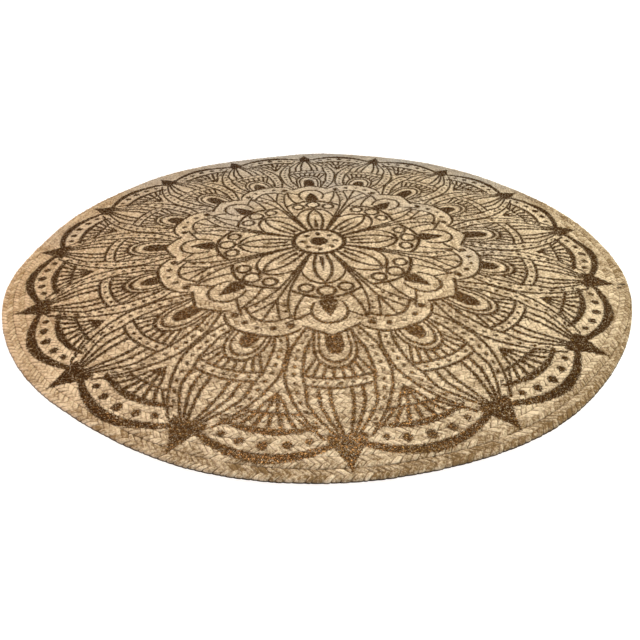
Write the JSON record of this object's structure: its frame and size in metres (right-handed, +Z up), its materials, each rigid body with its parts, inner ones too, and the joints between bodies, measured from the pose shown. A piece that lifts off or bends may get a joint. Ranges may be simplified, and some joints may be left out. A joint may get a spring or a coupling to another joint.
{
  "type": "round jute rug",
  "caption": "Flat round rug coiled from one braided jute plait, its upper face printed with a dark brown ringed flower ornament.",
  "frame": {"origin": "middle of the coil, on the underside that rests on the floor", "axes": "+Z up through the thickness; +Y away from the side nearest the camera in the picture, +X to its right"},
  "size_m": [1.2027, 1.2014, 0.0095],
  "materials": {
    "jute": "matt natural jute braid, with dark brown ink printed on its upper face"
  },
  "bodies": {
    "root": {"rug": "jute"}
  },
  "joints": []
}
